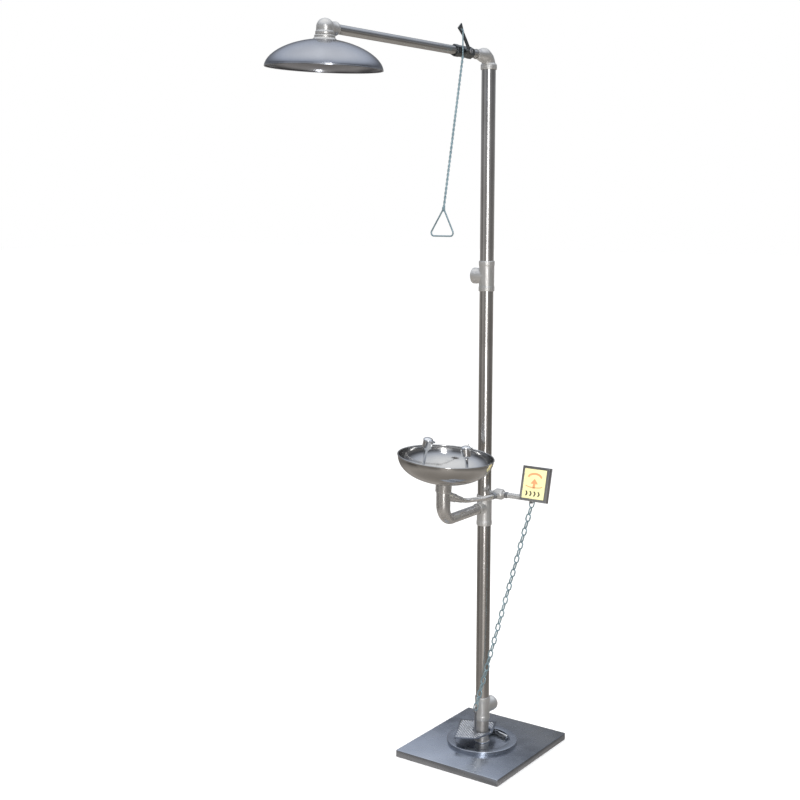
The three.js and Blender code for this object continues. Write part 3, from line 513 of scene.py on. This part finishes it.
def build_shower_valve():
    # The valve body, gland nut and lever take the dark steel, whose colour is painted shade.
    soften("shower_valve_body", SHADE_DARK_STEEL, 0.9 * MM, 3)
    for node in ("shower_seat_inlet", "shower_seat_outlet"):
        dress(node, SEAL)
    dress("shower_valve_ball", CHROME)
    dress("shower_valve_stem", SATIN, 0.4 * MM)
    dress("shower_gland_nut", SHADE_DARK_STEEL, 0.6 * MM)
    dress("lever_nut", SATIN, 0.6 * MM)
    dress("shower_lever", SHADE_DARK_STEEL, 0.7 * MM, 50)


def build_pull_rod():
    """A wire hook through the lever, a twisted pair of wires and a bent wire handle."""
    lowest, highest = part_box("pull_rod")
    wire = 2 * MM
    hole = LEVER_PIVOT
    x = hole.x + 4 * MM
    knee = Vector((x, hole.y, ARM_HEIGHT - 19 * MM))
    apex = Vector((x, lowest.y + 4.2 * MM, lowest.z + 78.2 * MM))
    hook = sweep_mesh(
        "hook",
        rounded_path([(hole.x - 9 * MM, hole.y, hole.z), (x, hole.y, hole.z), knee], 3.5 * MM),
        wire, 16,
    )
    line = apex - knee
    turns = line.length / (26 * MM)
    across = line.cross(Vector((1, 0, 0))).normalized()
    side = line.cross(across).normalized()
    strands = []
    steps = int(turns * 16)
    for phase in (0, math.pi):
        points = []
        for i in range(steps + 1):
            angle = phase + 2 * math.pi * turns * i / steps
            offset = 1.75 * MM * (across * math.cos(angle) + side * math.sin(angle))
            points.append(knee + line * i / steps + offset)
        strands.append(sweep_mesh("strand", points, wire * 0.95, 10))
    inset = wire + 0.6 * MM
    bottom = lowest.z + inset
    top = (apex.x, apex.y, apex.z + 2 * MM)
    corners = [top, (highest.x - inset, apex.y, bottom), (lowest.x + inset, apex.y, bottom), top]
    loop = sweep_mesh("loop", rounded_path(corners, 9 * MM), wire + 0.3 * MM, 16)
    ring = 3.7 * MM
    wrap_points = []
    for i in range(97):
        angle = 2 * math.pi * 4 * i / 96
        centre = apex + Vector((0, 0, 6 * MM)) - Vector((0, 0, 12 * MM)) * i / 96
        wrap_points.append(centre + Vector((ring * math.cos(angle), ring * math.sin(angle) * 0.7, 0)))
    wrap = sweep_mesh("wrap", wrap_points, wire * 0.7, 10)
    mesh = join_meshes("pull_wire", [hook, *strands, loop, wrap])
    finish_mesh("pull_wire", mesh, ZINC, "pull_rod_body", ["pull_rod"], 60)


# ---- eyewash -----------------------------------------------------------------------------------

def build_bowl():
    leaning = leaning_place(BOWL_CENTRE.y, LEAN_HEIGHT, BOWL_LEAN)
    lowest, highest = leaning_box("eyewash_bowl", leaning)
    bead = 2.5 * MM
    sheet = 1.6 * MM
    depth = highest.z - bead - lowest.z
    place = leaning @ Matrix.Translation((0, 0, highest.z - bead))
    outline = dome_outline(RIM_RADIUS - 2 * MM, -depth, 19 * MM, 2.1, sheet)
    dish = lathe_mesh("dish", outline, place, 160)
    rim = rolled_rim(RIM_RADIUS - 2.6 * MM, place, 2.4 * MM)
    mesh = join_meshes("eyewash_dish", [dish, rim])
    finish_mesh("eyewash_dish", mesh, SPUN, "stand", ["eyewash_bowl"])
    dress("bowl_strainer", SATIN, 0.4 * MM, 50)
    soften("bowl_locknut", CAST_BRIGHT, 0.9 * MM, 3)
    dress("supply_riser", SATIN)


def build_drain_bend():
    """The leg under the bowl narrows as it bends round to the column."""
    lowest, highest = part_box("drain_leg")
    wide = highest.x
    tee_half, bend = 40 * MM, 47 * MM
    axis = high("bowl_tee").z - tee_half
    narrow = axis - lowest.z
    corners = [(0, BOWL_CENTRE.y, highest.z), (0, BOWL_CENTRE.y, axis), (0, highest.y, axis)]
    steps = 24
    points = rounded_path(corners, bend, steps)
    radii = [wide + (narrow - wide) * min(max(i - 1, 0) / steps, 1) for i in range(len(points))]
    mesh = sweep_mesh("drain_bend", points, radii, 64)
    finish_mesh("drain_bend", mesh, CAST_BRIGHT, "stand", ["drain_leg"], 60)


def build_supply_tube():
    """The tube slopes down from the drain leg, crosses over and runs level into the valve."""
    start_y = low("supply_tube").y + 2 * MM
    end_y = high("supply_tube").y
    along = Vector((0, math.cos(SUPPLY_SLOPE), -math.sin(SUPPLY_SLOPE)))
    origin = Vector((0, BOWL_CENTRE.y, SUPPLY_ENTRY))
    first_run, level_start, bend = 128.7 * MM, -58 * MM, 35 * MM
    path = [
        origin + along * (start_y - BOWL_CENTRE.y) / along.y,
        origin + along * first_run,
        (HANDLE_AXIS.x, level_start, HANDLE_AXIS.z),
        (HANDLE_AXIS.x, end_y, HANDLE_AXIS.z),
    ]
    mesh = sweep_mesh("supply_pipe", rounded_path(path, bend, 20), TUBE_RADIUS, 40)
    finish_mesh("supply_pipe", mesh, CAST_BRIGHT, "stand", ["supply_tube"], 60)


def build_bowl_pipes():
    build_drain_bend()
    build_supply_tube()
    soften("side_boss", CAST_BRIGHT, 0.8 * MM, 3)
    soften("tube_nut_bowl", CAST_BRIGHT, 0.7 * MM, 3)


def build_nozzles():
    soften("nozzle_manifold", CHROME, 0.8 * MM, 3)
    for side in ("left", "right"):
        soften("nozzle_" + side, CHROME, 0.6 * MM, 3)
        dress("aerator_" + side, SEAL)
        soften("dust_cap_" + side, CHROME, 0.5 * MM, 2)
        dress("cap_pin_" + side, CHROME)


def build_eye_valve():
    soften("eyewash_valve_body", CAST, 0.8 * MM, 3)
    dress("tube_nut_valve", SATIN, 0.8 * MM)
    dress("eyewash_gland_nut", SATIN, 0.7 * MM)
    dress("eyewash_valve_ball", CHROME)
    dress("eyewash_valve_stem", SATIN, 0.4 * MM)
    dress("plate_nut", SATIN, 0.5 * MM)


def build_handle():
    """A grip with rings of crossed knurling, and the framed push plate with its printed panel."""
    lowest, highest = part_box("handle_bar")
    place = Matrix.Translation((0, 0, HANDLE_AXIS.z)) @ Matrix.Rotation(math.pi / 2, 4, "Y")
    start = lowest.x
    end = low("push_plate").x - 0.3 * MM
    outline = [(4.3 * MM, start), (6 * MM, start)]
    rings = 6
    pitch = (end - start) / rings
    for i in range(rings):
        base = start + i * pitch
        outline += [
            (6.8 * MM, base + 0.6 * MM), (8.4 * MM, base + 1.6 * MM),
            (8.5 * MM, base + pitch / 2), (8.4 * MM, base + pitch - 2 * MM),
            (6.8 * MM, base + pitch - 0.9 * MM),
        ]
    outline += [(6.4 * MM, end), (4 * MM, end), (4 * MM, highest.x), (0, highest.x), (0, start + 22 * MM),
                (4.3 * MM, start + 22 * MM)]
    mesh = lathe_mesh("grip", outline, place, 64)
    finish_mesh("grip", mesh, KNURLED, "push_handle", ["handle_bar"])
    dress("push_plate", FRAME_STEEL, 0.8 * MM, 50)
    dress("label_panel", LABEL)


def on_panel(x, height, lift=0.35 * MM):
    """A point on the label: x across it, height up its face from the handle's axis."""
    face = -9.2 * MM - lift
    across, rise = math.cos(PLATE_LEAN), math.sin(PLATE_LEAN)
    return Vector((x, height * rise + face * across, HANDLE_AXIS.z + height * across - face * rise))


def print_shape(name, points, material):
    """A flat printed shape on the label, given by [across, up] points."""
    centre = middle("label_panel").x
    front = [on_panel(centre + x * MM, y * MM) for x, y in points]
    back = [on_panel(centre + x * MM, y * MM, 0) for x, y in points]
    count = len(points)
    mesh = bpy.data.meshes.new(name)
    faces = [list(range(count)), list(range(count, 2 * count))[::-1]]
    for i in range(count):
        j = (i + 1) % count
        faces.append([i, j, count + j, count + i])
    mesh.from_pydata(front + back, [], faces)
    return finish_mesh(name, mesh, material, "push_handle")


def fan(centre_height, across, up, start, end, step=20):
    """Points of a flat arch over the middle of the label, with angles in degrees."""
    points = []
    for angle in range(start, end, step):
        turn = math.radians(angle)
        points.append((across * math.cos(turn), centre_height + up * math.sin(turn)))
    return points


def build_label():
    """A plain pictogram: an arch over an arrow that points up, above a row of dark chevrons."""
    chevrons = 4
    width, tall, stroke, pitch = 9, 15, 5, 14
    foot = 8
    for i in range(chevrons):
        left = (i - chevrons / 2) * pitch + 1
        middle_height = foot + tall / 2
        shape = [
            (left, foot), (left + stroke, foot), (left + width, middle_height),
            (left + stroke, foot + tall), (left, foot + tall), (left + width - stroke, middle_height),
        ]
        print_shape(f"print_chevron_{i}", shape, PRINT)
    print_shape("print_arch", fan(64, 26, 16, 10, 171) + fan(62, 21, 12, 170, 9, -20), PRINT_RED)
    arrow = [(-4, 32), (4, 32), (4, 46), (13, 46), (0, 62), (-13, 46), (-4, 46)]
    print_shape("print_arrow", arrow, PRINT_RED)
    print_shape("print_basin", fan(40, 30, -7, 0, 181) + fan(40, 26, -4, 180, -1, -20), PRINT_RED)


# ---- chain and pedal ---------------------------------------------------------------------------

def link_points(length, width, steps=10):
    """The centre line of a long link in the XZ plane, closed."""
    bend = width / 2
    straight = length / 2 - bend
    points = []
    for end in (1, -1):
        for i in range(steps + 1):
            angle = math.pi * i / steps
            across = bend * math.cos(angle)
            along = straight + bend * math.sin(angle)
            points.append(end * Vector((across, 0, along)))
    return points


def chain_ends():
    """The two tips of the CAD's sloping strand, found as its extremes along its own line."""
    points = [vertex.co for vertex in frame["nodes"]["pull_chain"].data.vertices]
    near = 0.3 * MM
    run = Vector((0, 0, -1))
    for _ in range(4):
        places = [point.dot(run) for point in points]
        first, last = min(places), max(places)
        top = [point for point, place in zip(points, places) if place < first + near]
        bottom = [point for point, place in zip(points, places) if place > last - near]
        start = sum(top, Vector()) / len(top)
        end = sum(bottom, Vector()) / len(bottom)
        run = (end - start).normalized()
    start += run * (first - start.dot(run))
    end += run * (last - end.dot(run))
    return start, end


def build_chain():
    """Separate links, each turned a quarter from the last, where the CAD has one strand."""
    links = 31
    strand_wire = 1.9 * MM
    wire = 2.3 * MM
    width = 18 * MM
    top, bottom = chain_ends()
    run = bottom - top
    overlap = 2 * strand_wire - 0.2 * MM
    length = (run.length + (links - 1) * overlap) / links
    pitch = length - overlap
    place = Matrix.Translation(top) @ Vector((0, 0, -1)).rotation_difference(run).to_matrix().to_4x4()
    meshes = []
    for i in range(links):
        at_end = i in (0, links - 1)
        size = strand_wire if at_end else wire  # the end links turn inside the eyes
        outline = link_points(length - 2 * size, width - 2 * size)
        seat = place @ Matrix.Translation((0, 0, -length / 2 - i * pitch))
        seat = seat @ Matrix.Rotation((i % 2) * math.pi / 2, 4, "Z")
        meshes.append(sweep_mesh("link", [seat @ point for point in outline], size, 12, closed=True))
    mesh = join_meshes("chain_links", meshes)
    finish_mesh("chain_links", mesh, ZINC, "chain", ["pull_chain"], 70)


def on_tread(x, y):
    """Whether a stud fits at a place on the tread, measured from its front corner."""
    edge = 5 * MM
    width, depth = 118 * MM, 150 * MM
    slant, cut_width, cut_depth, taper = 8 * MM, 43 * MM, 54 * MM, 3 * MM
    side = width - cut_width + (y - slant) * (cut_width - taper) / cut_depth
    return edge < x < min(side, width - taper) - edge and edge < y < depth - edge


def build_tread():
    """The tread's plate with rows of raised studs, set crosswise in turn."""
    dress("tread_plate", TREAD, 0.8 * MM, 50)
    corner = Vector((-41 * MM, low("tread_plate").y, high("tread_plate").z))
    frame_of_tread = Matrix.Translation(corner) @ Matrix.Rotation(TREAD_TURN, 4, "Z")
    clear_of_column = 30 * MM
    rows, columns = 18, 14
    margin, spacing = 2 * MM, 8.5 * MM
    outline = [
        (0, -0.2 * MM), (1.9 * MM, -0.2 * MM), (1.7 * MM, 0.7 * MM), (0.9 * MM, 1.3 * MM), (0, 1.4 * MM),
    ]
    studs = []
    for row in range(rows):
        for column in range(columns):
            x = margin + column * spacing + (row % 2) * spacing / 2
            y = margin + row * spacing
            place = frame_of_tread @ Matrix.Translation((x, y, 0))
            if not on_tread(x, y) or place.translation.xy.length < clear_of_column:
                continue
            turn = math.pi / 4 if (row + column) % 2 else -math.pi / 4
            place = place @ Matrix.Rotation(turn, 4, "Z") @ Matrix.Diagonal((1, 2, 1, 1))
            studs.append(lathe_mesh("stud", outline, place, 10))
    mesh = join_meshes("tread_studs", studs)
    finish_mesh("tread_studs", mesh, STUD, "pedal", (), 80)


def build_pedal():
    build_tread()
    # The pedal frame takes the dark steel, whose colour is painted shade.
    soften("pedal_frame", SHADE_DARK_STEEL, 0.9 * MM, 3)
    dress("chain_bar", SATIN, 0.6 * MM, 50)
    dress("hinge_bracket", SATIN, 0.8 * MM, 50)
    dress("hinge_rod", CHROME, 0.5 * MM)


# ---- stage -------------------------------------------------------------------------------------

def build_floor():
    """A plain pale floor. The steel mirrors the world's ground instead of it."""
    mesh = bpy.data.meshes.new("floor")
    size = 40
    mesh.from_pydata(
        [(-size, -size, 0), (size, -size, 0), (size, size, 0), (-size, size, 0)], [], [[0, 1, 2, 3]]
    )
    floor = bpy.data.objects.new("floor", mesh)
    bpy.context.scene.collection.objects.link(floor)
    shader = Shader("pale_floor")
    shader.surface.inputs["Roughness"].default_value = 0.9
    shader.surface.inputs["Base Color"].default_value = (0.97, 0.97, 0.97, 1)
    shader.surface.inputs["Emission Color"].default_value = (1, 1, 1, 1)
    shader.surface.inputs["Emission Strength"].default_value = 0.12
    mesh.materials.append(shader.material)
    floor.visible_glossy = False


def color_ramp(tree, stops):
    """A ramp node through [position, colour] stops."""
    node = tree.nodes.new("ShaderNodeValToRGB")
    elements = node.color_ramp.elements
    for element, (position, color) in zip(elements, (stops[0], stops[-1])):
        element.position = position
        element.color = (*color, 1)
    for position, color in stops[1:-1]:
        elements.new(position).color = (*color, 1)
    return node


def ranged(tree, value, start, end, first, last):
    node = tree.nodes.new("ShaderNodeMapRange")
    for name, number in (("From Min", start), ("From Max", end), ("To Min", first), ("To Max", last)):
        node.inputs[name].default_value = number
    tree.links.new(value, node.inputs["Value"])
    return node.outputs["Result"]


def calculated(tree, operation, *values):
    node = tree.nodes.new("ShaderNodeMath")
    node.operation = operation
    for socket, value in zip(node.inputs, values):
        if isinstance(value, (int, float)):
            socket.default_value = value
        else:
            tree.links.new(value, socket)
    return node.outputs["Value"]


def wall_stops():
    """Walls round the studio, as ramp stops. Azimuth 0 is at -Y and 90 at +X, in degrees."""
    walls = [
        (-180, -80, 0.36),  # behind and left
        (-66, -46, 0.20),   # dark gap on the left
        (-38, -16, 0.44),   # left side wall
        (-4, 16, 0.30),     # beside the soft box
        (26, 46, 1.0),      # soft box
        (58, 72, 0.34),     # right of it
        (84, 138, 0.20),    # dark right-hand side
        (152, 180, 0.34),   # behind
    ]
    stops = []
    for start, end, level in walls:
        for turn in (start, end):
            stops.append(((turn + 180) / 360, (level, level, level)))
    return stops


def mirrored_studio(tree):
    """What the steel mirrors: sky over warm ground, with bright and dark walls round the horizon."""
    place = tree.nodes.new("ShaderNodeTexCoord")
    split = tree.nodes.new("ShaderNodeSeparateXYZ")
    tree.links.new(place.outputs["Generated"], split.inputs["Vector"])
    x, y, z = (split.outputs[axis] for axis in "XYZ")
    sky = color_ramp(tree, [
        (0.0, (0.24, 0.22, 0.20)),
        (0.40, (0.46, 0.43, 0.40)),
        (0.48, (0.72, 0.68, 0.65)),
        (0.54, (0.62, 0.64, 0.67)),
        (0.66, (0.30, 0.32, 0.37)),
        (0.82, (0.50, 0.54, 0.62)),
        (1.0, (0.90, 0.92, 0.95)),
    ])
    tree.links.new(ranged(tree, z, -1, 1, 0, 1), sky.inputs["Fac"])
    azimuth = calculated(tree, "ARCTAN2", x, calculated(tree, "MULTIPLY", y, -1))
    ramp = color_ramp(tree, wall_stops())
    tree.links.new(ranged(tree, azimuth, -math.pi, math.pi, 0, 1), ramp.inputs["Fac"])
    near_horizon = ranged(tree, calculated(tree, "ABSOLUTE", z), 0.30, 0.60, 1, 0)
    blend = tree.nodes.new("ShaderNodeMix")
    blend.data_type = "RGBA"
    blend.blend_type = "MULTIPLY"
    tree.links.new(near_horizon, blend.inputs["Factor"])
    tree.links.new(sky.outputs["Color"], blend.inputs["A"])
    tree.links.new(ramp.outputs["Color"], blend.inputs["B"])
    return blend.outputs["Result"]


def build_world():
    """A white studio for the eye, and a patterned one for the steel to mirror."""
    world = bpy.data.worlds.new("studio")
    bpy.context.scene.world = world
    world.use_nodes = True
    tree = world.node_tree
    tree.nodes.clear()
    output = tree.nodes.new("ShaderNodeOutputWorld")
    mirrored = tree.nodes.new("ShaderNodeBackground")
    mirrored.inputs["Strength"].default_value = 1.35
    tree.links.new(mirrored_studio(tree), mirrored.inputs["Color"])
    seen = tree.nodes.new("ShaderNodeBackground")
    seen.inputs["Color"].default_value = (1, 1, 1, 1)
    rays = tree.nodes.new("ShaderNodeLightPath")
    mix = tree.nodes.new("ShaderNodeMixShader")
    tree.links.new(rays.outputs["Is Glossy Ray"], mix.inputs["Fac"])
    tree.links.new(seen.outputs["Background"], mix.inputs[1])
    tree.links.new(mirrored.outputs["Background"], mix.inputs[2])
    tree.links.new(mix.outputs["Shader"], output.inputs["Surface"])


def area_light(name, azimuth, distance, height, width, tall, power, mirrored=True):
    """A soft box that faces the column. Azimuth 0 is at -Y and 90 at +X."""
    light = bpy.data.lights.new(name, "AREA")
    light.shape = "RECTANGLE"
    light.size = width
    light.size_y = tall
    light.energy = power
    lamp = bpy.data.objects.new(name, light)
    lamp.visible_glossy = mirrored
    angle = math.radians(azimuth)
    lamp.location = (distance * math.sin(angle), -distance * math.cos(angle), height)
    aim = Vector((0, 0, height * 0.75)) - lamp.location
    lamp.rotation_euler = aim.to_track_quat("-Z", "Y").to_euler()
    bpy.context.scene.collection.objects.link(lamp)


def build_camera():
    data = bpy.data.cameras.new("camera")
    data.lens = 57.6
    data.sensor_width = 36
    camera = bpy.data.objects.new("camera", data)
    bearing, distance, height = math.radians(31.59), 3.9273, 1.7334
    camera.location = (distance * math.sin(bearing), -distance * math.cos(bearing), height)
    heading, down = math.radians(35.45), math.radians(8.66)
    level = math.cos(down)
    forward = Vector((-level * math.sin(heading), level * math.cos(heading), -math.sin(down)))
    camera.rotation_euler = forward.to_track_quat("-Z", "Y").to_euler()
    bpy.context.scene.collection.objects.link(camera)
    bpy.context.scene.camera = camera


def build_stage():
    build_floor()
    build_world()
    area_light("key", 38, 3.2, 1.5, 0.45, 3.2, 30)
    area_light("fill", -40, 4.0, 1.8, 1.6, 2.4, 50, mirrored=False)
    area_light("top", 20, 1.2, 4.2, 3.0, 3.0, 40, mirrored=False)
    build_camera()
    bpy.context.scene.view_settings.view_transform = "Standard"


build_column()
build_base()
build_head()
build_shower_valve()
build_pull_rod()
build_bowl()
build_bowl_pipes()
build_nozzles()
build_eye_valve()
build_handle()
build_label()
build_chain()
build_pedal()
build_stage()
